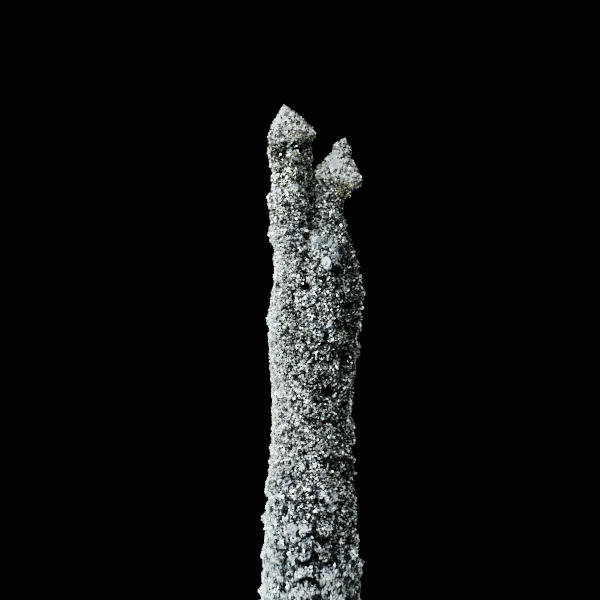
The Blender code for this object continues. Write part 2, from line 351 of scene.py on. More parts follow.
DENTS = (  # x and y in pixels, radius and depth in mm
    # under the left tip and down its stem
    (271, 201, 1.6, 0.3), (301, 152, 0.8, 0.7), (284, 153, 0.8, 0.5), (297, 164, 0.5, 0.5),
    (281, 172, 0.45, 0.5),
    (302, 178, 0.5, 0.4), (308, 190, 0.6, 0.7), (290, 206, 0.5, 0.4), (303, 210, 0.8, 0.6),
    (311, 200, 0.6, 0.8), (311, 212, 0.7, 0.9), (284, 223, 0.8, 0.5), (302, 223, 0.6, 0.5),
    (311, 228, 0.6, 0.8), (304, 244, 0.6, 0.7), (305, 254, 0.6, 0.7), (297, 249, 0.5, 0.4),
    (310, 220, 0.6, 0.9), (307, 236, 0.6, 0.8), (275, 225, 0.5, 0.5), (272, 213, 0.5, 0.4),
    # under the right tip and down its stem
    (322, 183, 0.7, 0.6), (333, 184, 0.6, 0.5), (342, 200, 1.2, 0.9), (331, 208, 0.4, 0.4),
    (330, 222, 0.7, 0.5), (338, 224, 0.7, 0.5), (309, 259, 0.6, 0.6), (316, 270, 0.5, 0.4),
    # the fork's deep holes
    (305, 274, 0.7, 0.7), (305, 286, 0.75, 1.1), (325, 277, 0.5, 0.5), (340, 272, 1.3, 0.9),
    (337, 285, 0.6, 0.7), (294, 297, 0.4, 0.4), (289, 304, 0.5, 0.4), (285, 309, 0.5, 0.4),
    # middle
    (288, 329, 0.4, 0.4), (305, 342, 0.5, 0.4), (324, 336, 0.6, 0.5), (325, 344, 0.5, 0.4),
    (348, 306, 0.7, 0.6), (348, 353, 1.1, 1.0), (332, 356, 0.5, 0.4), (343, 366, 0.9, 0.8),
    (303, 373, 0.6, 0.8), (297, 377, 0.5, 0.5), (330, 391, 1.2, 0.9), (318, 401, 0.6, 0.7),
    (345, 405, 0.9, 0.7), (327, 423, 0.8, 0.7), (334, 424, 0.7, 0.7), (343, 428, 0.6, 0.5),
    (304, 453, 0.6, 0.6), (291, 463, 0.4, 0.4), (308, 465, 0.4, 0.4), (345, 475, 0.9, 0.8),
    (291, 476, 0.4, 0.4), (295, 487, 0.5, 0.4),
    # foot
    (305, 504, 0.5, 0.4), (316, 501, 0.5, 0.5), (286, 512, 0.4, 0.4), (315, 525, 0.5, 0.5),
    (315, 534, 0.4, 0.5), (317, 541, 0.6, 0.8), (325, 540, 0.9, 0.6), (334, 545, 0.5, 0.5),
    (350, 540, 0.9, 0.6), (278, 552, 0.4, 0.4), (287, 552, 0.5, 0.4), (348, 553, 1.0, 0.5),
    (316, 558, 0.9, 0.9), (303, 563, 1.0, 0.5), (323, 563, 0.7, 0.7), (329, 565, 0.5, 0.5),
    (320, 575, 0.4, 0.6), (305, 580, 1.0, 0.9), (314, 580, 0.8, 0.8), (284, 587, 0.8, 0.6),
    (322, 588, 0.8, 0.6), (317, 598, 0.9, 0.8),
)
print(len(SWELLINGS), "swellings and", len(DENTS), "dents have chosen places")

# %% [markdown]
# A ray from the camera through a chosen pixel finds the place on the column. Blender's search trees make
# such rays quick, so the column's faces go into one.

# %% Places that the camera sees
def tree_of(*meshes):
    """One search tree for the faces of several meshes, in mm."""
    points, faces = [], []
    for mesh in meshes:
        start = len(points)
        points += points_of(mesh).tolist()
        faces += [[start + vertex for vertex in face.vertices] for face in mesh.polygons]
    return BVHTree.FromPolygons(points, faces)


column_tree = tree_of(column_mesh)
column_points = points_of(column_mesh)
column_facing = normals_of(column_mesh)


def seen_at(x, y, tree):
    """Where the camera sees this surface through a pixel, in mm, with the surface's normal there."""
    place, normal, _, _ = tree.ray_cast(Vector(eye), sight(x, y))
    return (None, None) if place is None else (np.array(place), np.array(normal))


print("the picture's middle shows the place", seen_at(300, 300, column_tree)[0].round(2), "mm")

# %% [markdown]
# Swellings and dents of the same kinds lie at random on the sides and the back. Every step that draws
# random numbers has a seed of its own. A change to one step then leaves the others as they are.

# %% Swellings and dents
RANDOM_SWELLINGS, SWELLING_RADII, SWELLING_HEIGHTS = 110, (0.8, 1.5), (0.25, 0.5)  # how many, and mm
RANDOM_DENTS, DENT_RADII, DENT_DEPTHS = 170, (0.4, 1.1), (0.35, 0.9)
FRONT_FACING = -0.45  # a surface whose normal has a lower y than this faces the front
LOWEST_FORM = 2.0  # above the cut, in mm
CHOSEN_SWELLING, CHOSEN_DENT = 1.35, -1.4  # what the heights and depths in the tables are multiplied by
SEEDS = {
    "forms": 4,
    "column places": 7,
    "tip places": 8,
    "column coat": 9,
    "tip coat": 10,
    "druse": 11,
    "larger crystals": 12,
    "relief": 20,
}


def dice_for(step, number=0):
    """Random numbers of a step's own, so that a change to one step leaves the others as they are."""
    return np.random.default_rng(SEEDS[step] + number)


def chosen_forms(forms, factor):
    found = [(seen_at(x, y, column_tree)[0], radius, factor * size) for x, y, radius, size in forms]
    return [form for form in found if form[0] is not None]


def random_forms(count, radii, sizes, sign, dice):
    """Swellings or dents at random places that don't face the front."""
    turned_away = column_facing[:, 1] > FRONT_FACING
    hidden = np.flatnonzero(turned_away & (column_points[:, 2] > LOWEST_FORM))
    starts = column_points[dice.choice(hidden, count, replace=False)]
    return [(start, dice.uniform(*radii), sign * dice.uniform(*sizes)) for start in starts]


dice = dice_for("forms")
forms = chosen_forms(SWELLINGS, CHOSEN_SWELLING) + chosen_forms(DENTS, CHOSEN_DENT)
forms += random_forms(RANDOM_SWELLINGS, SWELLING_RADII, SWELLING_HEIGHTS, 1, dice)
forms += random_forms(RANDOM_DENTS, DENT_RADII, DENT_DEPTHS, -1, dice)
print("the column gets", len(forms), "swellings and dents")

# %% [markdown]
# ## Shaping the column
#
# All of these forms move points in or out, so their heights are added up first and every point is moved
# once, along its normal. The left side has lower knobs than the right, and the foot higher ones.
#
# The crust lies a little inside the solid's surface, because the crystals standing on it reach that
# surface with their tips. Round the two tips it is drawn in further, so that they stand clear of it.

# %% Shaping the column
KNOB_HEIGHT, LEDGE_HEIGHT = 0.34, 0.5  # mm
LEDGE_LEVEL = 0.6  # the part of a ledge's height that lies below the column's own surface
CALM_LEFT = 0.45  # the height of the left side's knobs, as a share of the right side's
FOOT_KNOBS = 0.3  # how much higher the knobs are at the foot, as a share
RAGGED = 0.35  # how far the outlines of swellings and dents wander, as a share of their radius
INSET, FOOT_INSET = 0.12, 0.28  # how far the crust is drawn in, in mm, and at the foot
LEFT_OUT = 0.3  # how far the left side is pushed out, in mm
LEFT_OUT_STARTS, STEM_HEIGHTS = (74, 71), (58, 64)  # heights where that begins, and grows less on the stem
TIP_CLEARANCE = 0.35  # how far the column is drawn in round the tips, in mm
CLEARANCE_SHARES = 1.3, 1.05  # how far out from a tip that begins and is full, in the tip's own measure
CAP_HOLLOW = 3.4  # and it is hollowed this far round the smallest tip, which sits on the next one
HOLLOW_TO_CAP = (0.3, 0.0, 0.6)  # from the middle of that hollow to the middle of the smallest tip
CUT_REACH = 0.5  # the lowest part of the column, which stays plain so that the cut keeps its outline

z = column_points[:, 2]
foot = foot_share(z)
to_the_left = smoothstep(-column_facing[:, 0], 0.1, 0.9)
height = KNOB_HEIGHT * knobs(column_points, KNOB_WIDTH)
height *= 1 - (1 - CALM_LEFT) * to_the_left
height *= 1 + FOOT_KNOBS * foot
height += LEDGE_HEIGHT * (ledges(column_points) - LEDGE_LEVEL) * foot
wander = 1 + RAGGED * np.array([noise.noise(Vector(point) * 1.3) for point in column_points])
for place, radius, size in forms:
    away = np.linalg.norm(column_points - place, axis=1) / radius * wander
    height += size * np.clip(1.0 - away**2, 0.0, 1.0) ** 1.25
standing = height - height.mean()
height -= INSET + (FOOT_INSET - INSET) * foot
pushed = LEFT_OUT * to_the_left * smoothstep(z, *LEFT_OUT_STARTS)
height += pushed * (1 - 0.4 * smoothstep(z, *STEM_HEIGHTS))
for tip in tips.values():
    height -= TIP_CLEARANCE * smoothstep(tip.share(column_points), *CLEARANCE_SHARES)
from_cap = np.linalg.norm(column_points - tips["right_tip_cap"].middle + HOLLOW_TO_CAP, axis=1)
height -= CAP_HOLLOW / 2 * np.clip(1.0 - (from_cap / CAP_HOLLOW) ** 2, 0.0, 1.0)
height *= np.clip(z / CUT_REACH, 0.0, 1.0)
column_points = column_points + column_facing * height[:, None]
move_points(column_mesh, column_points)
column_tree = tree_of(column_mesh)
print("the surface stands out by up to", standing.max().round(2), "mm")
print("and its deepest dent goes in by", -standing.min().round(2), "mm")

# %% [markdown]
# ## The tips' faces
#
# A real octahedron of pyrite isn't a flat-faced toy. Its faces grow in thin triangular plates, stepped like
# contour lines, and its edges are chipped. To carry them, each face gets a fine net of triangles, by
# cutting every edge into equal parts. The net's rows then run along the edges, as the plates do.

# %% A fine net for the tips
TIP_NET = 0.095  # the side of a triangle in a tip's net, in mm


def fine_octahedron(reach):
    """Points and triangles of an upright octahedron whose faces are nets of small triangles."""
    bm = bmesh.new()
    ends = [bm.verts.new(Vector(axis) * reach * sign) for axis in Matrix.Identity(3) for sign in (1, -1)]
    for x in (0, 1):
        for y in (2, 3):
            for z in (4, 5):
                bm.faces.new((ends[x], ends[y], ends[z]))
    bmesh.ops.recalc_face_normals(bm, faces=bm.faces)
    cuts = round(reach * math.sqrt(2) / TIP_NET) - 1
    bmesh.ops.subdivide_edges(bm, edges=bm.edges, cuts=cuts, use_grid_fill=True)
    bmesh.ops.triangulate(bm, faces=bm.faces)
    points = np.array([vert.co for vert in bm.verts])
    faces = np.array([[vert.index for vert in face.verts] for face in bm.faces])
    bm.free()
    return points, faces


print("one with a reach of 1 mm has", len(fine_octahedron(1.0)[1]), "triangles")

# %% [markdown]
# The plates are raised from a distance that is measured in three directions at once, which draws triangles
# where an ordinary distance would draw rings. Rounding it down to whole steps makes the plates. A noise
# texture would give soft bumps instead, without the plates' straight edges. Small pits break them up, and
# the octahedron's own edges are worn back.

# %% Growth plates
PLATE_STEP, PLATE_WIDTH = 0.04, 0.26  # how high and wide one plate's step is, in mm
HILLOCKS, HILLOCK_REACH = 12, (0.5, 2.2)  # stepped hillocks on each face, and their reach in mm
FACE_PITS, FACE_PIT_REACH = 34, (0.08, 0.3)  # three-sided pits on each face, and their reach in mm
EDGE_WEAR_WIDTH = 0.2  # how far from an edge the wear reaches
CHIP = 0.07  # how far chipped edges are worn back
FACE_INSET = 0.05  # the faces lie this far inside, and their plates reach the true size


def relief(points, reach, dice):
    """How far each point of an upright octahedron is raised or worn back, in mm."""
    side = np.sign(np.round(points, 5))
    heights = np.zeros(len(points))
    for octant in np.ndindex(2, 2, 2):
        sign = np.array(octant) * 2 - 1
        on_face = (side * sign >= 0).all(1)
        shares = np.abs(points[on_face]) / reach
        raised = np.zeros(on_face.sum())
        for _ in range(HILLOCKS):
            away = (shares - dice.dirichlet((1.0, 1.0, 1.0))).max(1) * reach * math.sqrt(1.5)
            steps = np.floor(np.clip(dice.uniform(*HILLOCK_REACH) - away, 0.0, None) / PLATE_WIDTH)
            raised = np.maximum(raised, steps * PLATE_STEP * dice.uniform(0.4, 1.0))
        for _ in range(FACE_PITS):
            away = (dice.dirichlet((1.0, 1.0, 1.0)) - shares).max(1) * reach * math.sqrt(1.5)
            size = dice.uniform(*FACE_PIT_REACH)
            raised -= np.clip(size - away, 0.0, 0.4 * size)
        heights[on_face] = raised
    edge = np.sort(np.abs(points), axis=1)[:, 0]  # how far a point is from the nearest edge
    wear = np.array([noise.fractal(Vector(point) * 1.1, 0.8, 2.0, 4) for point in points])
    near_edge = np.exp(-((edge / EDGE_WEAR_WIDTH) ** 2))
    return heights * (1 - near_edge) - near_edge * CHIP * np.clip(0.3 + wear, 0.0, 1.0) - FACE_INSET


print("a hillock rises by up to", math.floor(HILLOCK_REACH[1] / PLATE_WIDTH), "plates")

# %% [markdown]
# Each octahedron is made upright round its own middle, where the signs of x, y and z tell its faces apart.
# Then it is turned and moved into place. The left tip lacks its left corner, which broke off.

# %% The tips
LEFT_CUT = 2.1  # the left tip's left corner is missing beyond this distance from its top corner

tip_meshes = {}
for number, (name, tip) in enumerate(tips.items()):
    points, faces = fine_octahedron(tip.reach)
    outward = np.sign(np.round(points, 5))
    outward /= np.linalg.norm(outward, axis=1)[:, None]
    lift = relief(points, tip.reach, dice_for("relief", number))
    placed = (points + outward * lift[:, None]) @ tip.axes + tip.middle
    if name == "left_tip":
        placed[:, 0] = np.maximum(placed[:, 0], top_corner[0] - LEFT_CUT)
    tip_meshes[name] = mesh_from(name, placed, [faces])
    print(name, "has", len(faces), "triangles")
whole_tree = tree_of(column_mesh, *tip_meshes.values())

# %% [markdown]
# ## The crystals of the coat
#
# Each small crystal is one of the shapes that pyrite grows in: the octahedron, the cube, and forms between
# the two where each cuts the corners off the other. All of them are the same idea, points that a rule
# gives, so their faces come from Blender's convex hull.
#
# Thousands of separate objects would be slow, and instances are lost when a model is exported. So the
# points of one shape are copied for all of its crystals at once, with a scale, a turn and a place for each.

# %% Crystal shapes
def hull(points):
    """Points of the convex shape round the points, and its flat faces grouped by their corner count."""
    bm = bmesh.new()
    for point in points:
        bm.verts.new(point)
    bmesh.ops.convex_hull(bm, input=bm.verts)
    bmesh.ops.dissolve_limit(bm, angle_limit=math.radians(2), verts=bm.verts, edges=bm.edges)
    bmesh.ops.recalc_face_normals(bm, faces=bm.faces)
    bm.verts.index_update()
    groups = {}
    for face in bm.faces:
        groups.setdefault(len(face.verts), []).append([vert.index for vert in face.verts])
    ends = np.array([vert.co for vert in bm.verts])
    bm.free()
    return ends, {size: np.array(group) for size, group in groups.items()}


def signed(values):
    """Every order and every choice of signs of three values, each point once."""
    orders = ((0, 1, 2), (1, 2, 0), (2, 0, 1), (0, 2, 1), (1, 0, 2), (2, 1, 0))
    signs = [(a, b, c) for a in (1, -1) for b in (1, -1) for c in (1, -1)]
    chosen = [zip(order, sign) for order in orders for sign in signs]
    return sorted({tuple(values[k] * s + 0.0 for k, s in pairs) for pairs in chosen})


SHAPES = {
    "octahedron": hull(signed((1.0, 0.0, 0.0))),
    "cube": hull(signed((0.62, 0.62, 0.62))),
    "cuboctahedron": hull(signed((0.68, 0.68, 0.0))),
    "cube_without_corners": hull(signed((0.66, 0.66, 0.36))),
    "octahedron_without_corners": hull(signed((0.82, 0.2, 0.0))),
}
OCTAHEDRON, CUBE, CUBOCTAHEDRON, CUT_CUBE, CUT_OCTAHEDRON = range(5)
for name, (points, groups) in SHAPES.items():
    print(name, "has", sum(len(group) for group in groups.values()), "faces")

# %% [markdown]
# ## Scattering the coat
#
# Grown crystals leave each other room, and a large one keeps small ones away. So places are tried at random
# all over the surface, each with a room of its own size, and one is kept only where it doesn't crowd those
# already kept. That is dart throwing. Blender's scatter nodes keep points apart as well, but by one distance
# for all of them.
#
# For the darts to fall evenly, a triangle is picked by its area, and then a place inside it.

# %% Random places
def spots_on(mesh, count, dice):
    """Random places on a mesh with their normals, as many to each area alike."""
    points = points_of(mesh)
    mesh.calc_loop_triangles()
    corner = np.empty(len(mesh.loop_triangles) * 3, np.int32)
    mesh.loop_triangles.foreach_get("vertices", corner)
    a, b, c = (points[corner.reshape(-1, 3)[:, k]] for k in range(3))
    across = np.cross(b - a, c - a)
    area = np.linalg.norm(across, axis=1)
    picked = dice.choice(len(area), count, p=area / area.sum())
    u, v = dice.random((2, count, 1))
    over = u + v > 1
    u, v = np.where(over, 1 - u, u), np.where(over, 1 - v, v)
    return a[picked] + u * (b - a)[picked] + v * (c - a)[picked], across[picked] / area[picked][:, None]


thousand, _ = spots_on(column_mesh, 1000, dice_for("column places"))
print("a thousand random places have their middle at", thousand.mean(0).round(1), "mm")

# %% [markdown]
# Most crystals are about a third of a millimetre wide. Near the foot they are a little larger. The left
# side is calm, and its crystals are finer.

# %% Room for each crystal
ROOM, ROOM_SPREAD = 0.222, 0.24  # the middle crystal's room in mm, and how widely the rooms are spread
SMALLEST_ROOM, LARGEST_ROOM = 0.13, 1.2  # mm
FOOT_ROOM = 1.5  # how many times as large the rooms are at the foot
ROOM_HEIGHTS = 42.0, 8.0  # heights where rooms begin to grow towards the foot, and are largest
FINER_LEFT = 0.22  # how much smaller the rooms are on the left side, as a share
CALM_REACH = 4.6, 0.4  # how far from the left edge the calm side ends, and where it is fully calm
CALM_HEIGHTS = 66.0, 56.0  # the height where it ends, and the one below which it is fully calm
EDGE_STEP, EDGE_BAND = 2.0, 3.0  # the left edge is looked up at such steps, this far up and down, in mm


def calm_at(places):
    """1 along the column's left side and back to 0 a few millimetres further right."""
    heights = np.arange(0.0, CALM_HEIGHTS[0] + EDGE_STEP, EDGE_STEP)
    lefts = [column_points[np.abs(column_points[:, 2] - z) < EDGE_BAND, 0].min() for z in heights]
    left = np.interp(places[:, 2], heights, lefts)
    return smoothstep(places[:, 0] - left, *CALM_REACH) * smoothstep(places[:, 2], *CALM_HEIGHTS)


def room_growth(places):
    """How many times as large the rooms are at each place, because of its height."""
    return 1 + (FOOT_ROOM - 1) * smoothstep(places[:, 2], *ROOM_HEIGHTS)


def rooms_for(places, dice):
    """The width of the room that a crystal at each place keeps for itself."""
    room = ROOM * np.exp(dice.normal(0.0, ROOM_SPREAD, len(places))) * room_growth(places)
    room *= 1 - FINER_LEFT * calm_at(places)
    return np.clip(room, SMALLEST_ROOM, LARGEST_ROOM)


rooms = rooms_for(thousand, dice_for("column places"))
print("their rooms are", rooms.min().round(2), "to", rooms.max().round(2), "mm wide")

# %% [markdown]
# A new room has to be compared with those already kept. With a grid of cells as wide as the largest room,
# only the cells round its own have to be searched, which keeps it quick.

# %% Keeping the crystals apart
TRIES = 600_000
LOWEST_SPOT = 0.15  # above the cut, in mm
AROUND = [(i, j, k) for i in (-1, 0, 1) for j in (-1, 0, 1) for k in (-1, 0, 1)]


def crowded(place, room, cell, grid):
    """Whether a room overlaps one that is already kept, in its own cell or in those round it."""
    x, y, z = place
    i, j, k = cell
    for di, dj, dk in AROUND:
        for px, py, pz, other in grid.get((i + di, j + dj, k + dk), ()):
            if (px - x) ** 2 + (py - y) ** 2 + (pz - z) ** 2 < (0.5 * (room + other)) ** 2:
                return True
    return False


def spaced(points, rooms):
    """The numbers of the points that are kept, so that no two rooms overlap."""
    grid, kept = {}, []
    cells = np.floor(points / LARGEST_ROOM).astype(int)
    for number, (place, cell, room) in enumerate(zip(points.tolist(), cells.tolist(), rooms.tolist())):
        if not crowded(place, room, cell, grid):
            grid.setdefault(tuple(cell), []).append((*place, room))
            kept.append(number)
    return np.array(kept)


dice = dice_for("column places")
column_spots, column_normals = spots_on(column_mesh, TRIES, dice)
on_skin = np.all([tip.share(column_spots) > 1.0 for tip in tips.values()], axis=0)
on_skin &= (column_spots[:, 2] > LOWEST_SPOT) & (column_normals[:, 2] > -0.9)
column_spots, column_normals = column_spots[on_skin], column_normals[on_skin]
column_rooms = rooms_for(column_spots, dice)
kept = spaced(column_spots, column_rooms)
column_spots, column_normals, column_rooms = column_spots[kept], column_normals[kept], column_rooms[kept]
print("the column carries", len(kept), "crystals")

# %% [markdown]
# The tips keep clean faces near their top corners, with the coat growing denser downwards. A place on a tip
# is kept by chance, and the chance follows how far below the top corner it lies, broken up by noise. Near
# the upper edges hardly any grow. Places that lie inside the column are dropped.

# %% Scattering on the tips
TIP_TRIES, TRIED_REACH = 30_000, 4.6  # how many places are tried on a tip of this reach, in mm
# How far down a tip its coat starts: 0 at the top corner and 1 level with the middle.
COAT_STARTS = {"left_tip": 0.6, "right_tip": 0.85, "right_tip_cap": 1.2}
COAT_FULL = 0.4  # how much further down it is full
RAGGED_START = 0.3  # how far that level wanders up and down
EDGE_KEPT_CLEAR, EDGE_CHANCE = 0.22, 0.12  # in mm, and the share of crystals that grow there after all
# Painted shade: the coat below a tip's middle, under its overhang, is darker.
COLLAR_SHADE = 0.45  # how much darker the coat is below a tip's middle
TIP_ROOM = 0.85  # the rooms on the tips, as a share of those on the column
DEEPEST_SPOT = 0.3  # how deep in the column a tip's crystal may stand, in mm


def buried(points, tree, depth):
    """Whether each point lies deeper than this below a closed surface."""
    found = []
    for point in points:
        place, normal, _, _ = tree.find_nearest(Vector(point))
        found.append((Vector(point) - place).dot(normal) < -depth)
    return np.array(found)


dice = dice_for("tip places")
tip_spots, tip_normals, tip_shade = [], [], []
for name, tip in tips.items():
    tries = round(TIP_TRIES * (tip.reach / TRIED_REACH) ** 2)
    spots, normals = spots_on(tip_meshes[name], tries, dice)
    own = (spots - tip.middle) @ tip.axes.T / tip.reach
    ragged = np.array([noise.noise(Vector(spot) * 0.5) for spot in spots])
    down = 1 - own[:, 2] + RAGGED_START * ragged
    chance = smoothstep(down, COAT_STARTS[name] - 0.05, COAT_STARTS[name] + COAT_FULL) ** 2
    to_edge = np.sort(np.abs(own), axis=1)[:, 0] * tip.reach
    chance = np.where((down < 1.0) & (to_edge < EDGE_KEPT_CLEAR), chance * EDGE_CHANCE, chance)
    free = np.all([other.share(spots) > 1.0 for key, other in tips.items() if key != name], axis=0)
    grows = free & (dice.random(len(spots)) < chance)
    tip_spots.append(spots[grows])
    tip_normals.append(normals[grows])
    tip_shade.append(COLLAR_SHADE * smoothstep(down[grows], 0.95, 1.25))
tip_spots, tip_normals, tip_shade = map(np.concatenate, (tip_spots, tip_normals, tip_shade))
tip_rooms = rooms_for(tip_spots, dice) * TIP_ROOM
kept = spaced(tip_spots, tip_rooms)
kept = kept[~buried(tip_spots[kept], column_tree, DEEPEST_SPOT)]
tip_spots, tip_normals = tip_spots[kept], tip_normals[kept]
tip_rooms, tip_shade = tip_rooms[kept], tip_shade[kept]
print("the tips carry", len(kept), "crystals")

# %% [markdown]
# The crystals stand proud of what carries them, with dark gaps between. So now that all of them have their
# places, the column is drawn in a little more under them.

# %% Drawing the column in
CRUST_DEPTH = 0.16  # mm
above_cut = np.clip(column_points[:, 2] / CUT_REACH, 0.0, 1.0)[:, None]
move_points(column_mesh, column_points - normals_of(column_mesh) * CRUST_DEPTH * above_cut)
print("the crust lies", CRUST_DEPTH, "mm under the crystals' feet")

# %% [markdown]
# ## Growing the coat
#
# Every place gets a size, a shape, a turn and a colour of its own. A batch keeps each of these as an array
# with one row for each crystal, so that thousands of crystals are handled at once.
#
# Turns are random over most of the column. Three random angles would favour some directions, so the turns
# come from random unit quaternions. Near the foot most crystals point up and outwards, and only their roll
# is random.

# %% Turns and batches
def random_turns(count, dice):
    """Rotation matrices that favour no direction, from random unit quaternions."""
    q = dice.normal(size=(4, count))
    w, x, y, z = q / np.linalg.norm(q, axis=0)
    rows = (
        (1 - 2 * (y * y + z * z), 2 * (x * y - w * z), 2 * (x * z + w * y)),
        (2 * (x * y + w * z), 1 - 2 * (x * x + z * z), 2 * (y * z - w * x)),
        (2 * (x * z - w * y), 2 * (y * z + w * x), 1 - 2 * (x * x + y * y)),
    )
    return np.stack([np.stack(row, 1) for row in rows], 1)


def turns_pointing(directions, spread, dice):
    """Rotation matrices whose third axis lies near each direction, with a random roll about it."""
    third = directions / np.linalg.norm(directions, axis=1)[:, None]
    third = third + dice.normal(scale=spread, size=third.shape)
    third /= np.linalg.norm(third, axis=1)[:, None]
    first = np.cross(third, dice.normal(size=third.shape))
    first /= np.linalg.norm(first, axis=1)[:, None]
    return np.stack([first, np.cross(third, first), third], 2)


class Crystals:
    """A batch of crystals, one row for each: place, turn, scale, shape, tint and frost."""

    def __init__(self, places, turns, scales, shapes, tints, frost):
        self.places, self.turns, self.scales = places, turns, scales
        self.shapes, self.tints, self.frost = shapes, tints, frost

    def where(self, mask):
        return Crystals(*(values[mask] for values in vars(self).values()))

    def __add__(self, other):
        pairs = zip(vars(self).values(), vars(other).values())
        return Crystals(*(np.concatenate(pair) for pair in pairs))


turn = random_turns(1, dice_for("column coat"))[0]
print("a turn keeps sizes, so its determinant is", np.linalg.det(turn).round(6))

# %% [markdown]
# Crystals that are sheltered, between knobs, under ledges and in the fork, get painted shade in their
# colour.
# Short rays from each crystal measure that, and the more of them meet the cluster, the darker the crystal's
# colour is painted. A shader can measure it as well, but here one value has to hold for the whole crystal.
#
# Other measures tell how far the surface stands out at a place, whether the place lies in a hollow of the
# coat, and whether it is near a chosen spot.

# %% Sheltered places
SHELTER_RAYS, SHELTER_REACH = 6, 1.6  # for each crystal, and their length in mm
RAY_LIFT, RAY_LEAN = 0.2, 1.05  # rays start this far above the surface, in mm, and lean outwards by this
HOLLOW_WIDTH = 0.42  # of the dips that the coat's own surface has, in mm


def sheltered(places, normals, dice):
    """The share of short rays out of each place that meet the cluster."""
    met = np.zeros(len(places))
    for _ in range(SHELTER_RAYS):
        aim = dice.normal(size=places.shape)
        aim /= np.linalg.norm(aim, axis=1)[:, None]
        aim += normals * RAY_LEAN
        for number, (place, way, normal) in enumerate(zip(places, aim, normals)):
            hit = whole_tree.ray_cast(Vector(place + normal * RAY_LIFT), Vector(way), SHELTER_REACH)
            met[number] += hit[0] is not None
    return met / SHELTER_RAYS


def standing_at(places):
    """How far the column's surface stands out at each place, from its nearest face, in mm."""
    faces = [column_tree.find_nearest(Vector(place))[2] for place in places]
    return np.array([standing[column_mesh.polygons[face].vertices[0]] for face in faces])


def evenness(places):
    """0 in the hollows of the coat's surface, 1 on its ridges."""
    field = [noise.fractal(Vector(place) / HOLLOW_WIDTH, 0.6, 2.0, 2) for place in places]
    return smoothstep(np.array(field), -0.42, 0.3)


def near_pixels(places, pixels):
    """Whether each place is near one of these spots of the picture."""
    near = np.zeros(len(places), bool)
    for x, y, radius in pixels:
        centre, _ = seen_at(x, y, whole_tree)
        if centre is not None:
            near |= np.linalg.norm(places - centre, axis=1) < radius
    return near


few = slice(None, None, 100)
met = sheltered(column_spots[few], column_normals[few], dice_for("column coat"))
print("of the rays from every hundredth crystal,", round(100 * met.mean()), "% meet the cluster")

# %% [markdown]
# Pyrite's colour shifts a little from crystal to crystal. Most are a cool silver that leans to olive at the
# tips and to blue at the foot, in soft patches. A few are brassy, as all pyrite is in a warmer light. Some
# places have brassy crystals by choice, and others get painted shadow: darkened crystals in the holes under
# the tips and in the fork.

# %% The palette
SILVER = np.array((0.67, 0.74, 0.725))
BLUISH = np.array((0.52, 0.63, 0.72))
OLIVE = np.array((0.66, 0.70, 0.60))
BRASSY = np.array((0.62, 0.57, 0.42))
CALM_TINT = (-0.008, 0.012, 0.0)  # what the calm side's colour has more of
BLUE_HEIGHTS, OLIVE_HEIGHTS = (34, 14), (60, 74)  # between which the colour goes over to blue and to olive
BRASSY_SHARE = 0.008  # of crystals anywhere
SPOT_BRASSY_SHARE, SPOT_BRASSY_GAIN = 0.75, 1.05  # of crystals in brassy spots, which are lighter by this
BRASSY_PIXELS = ((302, 136, 0.9), (293, 137, 0.5), (346, 190, 1.2), (296, 163, 0.4))  # x, y, radius in mm
# Painted shadow: the crystals round these spots, in the holes under the tips and in the fork, are darkened.
SHADOWED_PIXELS = (  # x and y in pixels, radius in mm
    (308, 145, 0.8), (299, 150, 0.55), (294, 148, 0.45), (284, 153, 0.5), (276, 153, 0.5), (285, 142, 0.35),
    (296, 163, 0.5), (281, 173, 0.35), (309, 189, 0.6), (302, 179, 0.4), (354, 188, 0.7), (345, 199, 0.9),
    (272, 141, 0.3), (336, 156, 0.2), (344, 156, 0.2), (322, 182, 0.4), (294, 122, 0.2), (331, 184, 0.4),
)
print(len(BRASSY_PIXELS), "brassy spots and", len(SHADOWED_PIXELS), "shadowed ones have chosen places")

# %% [markdown]
# A crystal's hue comes from soft patches, its height and its own luck. How light it is depends on luck, on
# wider patches and, most of all, on its painted shade. Light is painted in as well: the calm left side,
# which the key lamp lights straight on, is lighter, and the upper stems' left side is darker to tone that
# light down. Working it out here, and not in the shader, gives each crystal one colour all over, as each
# real one has.

# %% The crystals' colours
LUCK, PATCHY = 0.16, 0.25  # how widely crystals differ in lightness, and how widely patches do
# Painted light and shade: the calm left side, which faces the key lamp, is lighter, and the upper left side
# is darker.
CALM_LIGHTER, FOOT_DARKER, UPPER_LEFT_DARKER = 0.16, 0.23, 0.1
UPPER_STARTS, UPPER_ENDS = (56, 60), (76, 72)  # heights between which the upper left side is darker
LIGHTNESS = 0.45, 1.3  # the darkest and lightest that crystals get without shade
SHADE_ENDS, BLACKENED = (0.1, 0.8), 0.92  # where shade begins and is full, and how much it then darkens
# Partly painted shade: besides tarnish, these near-black crystals stand for the dark gaps of the coat, fewer
# on the lit left side and at the foot.
DARK_SHARE, DARK_LIGHTNESS = 0.12, 0.2  # of crystals that are nearly black with tarnish


def patches(places, scale, roughness):
    """A soft random pattern about 0, with patches as wide as 1 / scale in mm."""
    return np.array([noise.fractal(Vector(place) * scale, roughness, 2.0, 3) for place in places])


def hues_for(places, normals, calm, dice):
    """The colour of each crystal's clean metal."""
    z = places[:, 2]
    draw = dice.random(len(places))
    lean = 0.6 * patches(places, 0.6, 0.6) + dice.normal(0.0, 0.13, len(places))
    lean = lean - 0.5 * smoothstep(z, *BLUE_HEIGHTS) + 0.7 * smoothstep(z, *OLIVE_HEIGHTS)
    lean = lean + 0.35 * smoothstep(normals[:, 0], 0.3, 0.9)
    lean = np.clip(lean, -1.0, 1.0)[:, None]
    hue = SILVER + np.where(lean > 0, lean * (OLIVE - SILVER), -lean * (BLUISH - SILVER))
    hue = np.where((draw > 1 - BRASSY_SHARE)[:, None], BRASSY, hue)
    in_spot = near_pixels(places, BRASSY_PIXELS) & (draw < SPOT_BRASSY_SHARE)
    hue = np.where(in_spot[:, None], BRASSY * SPOT_BRASSY_GAIN, hue)
    return hue + calm[:, None] * CALM_TINT


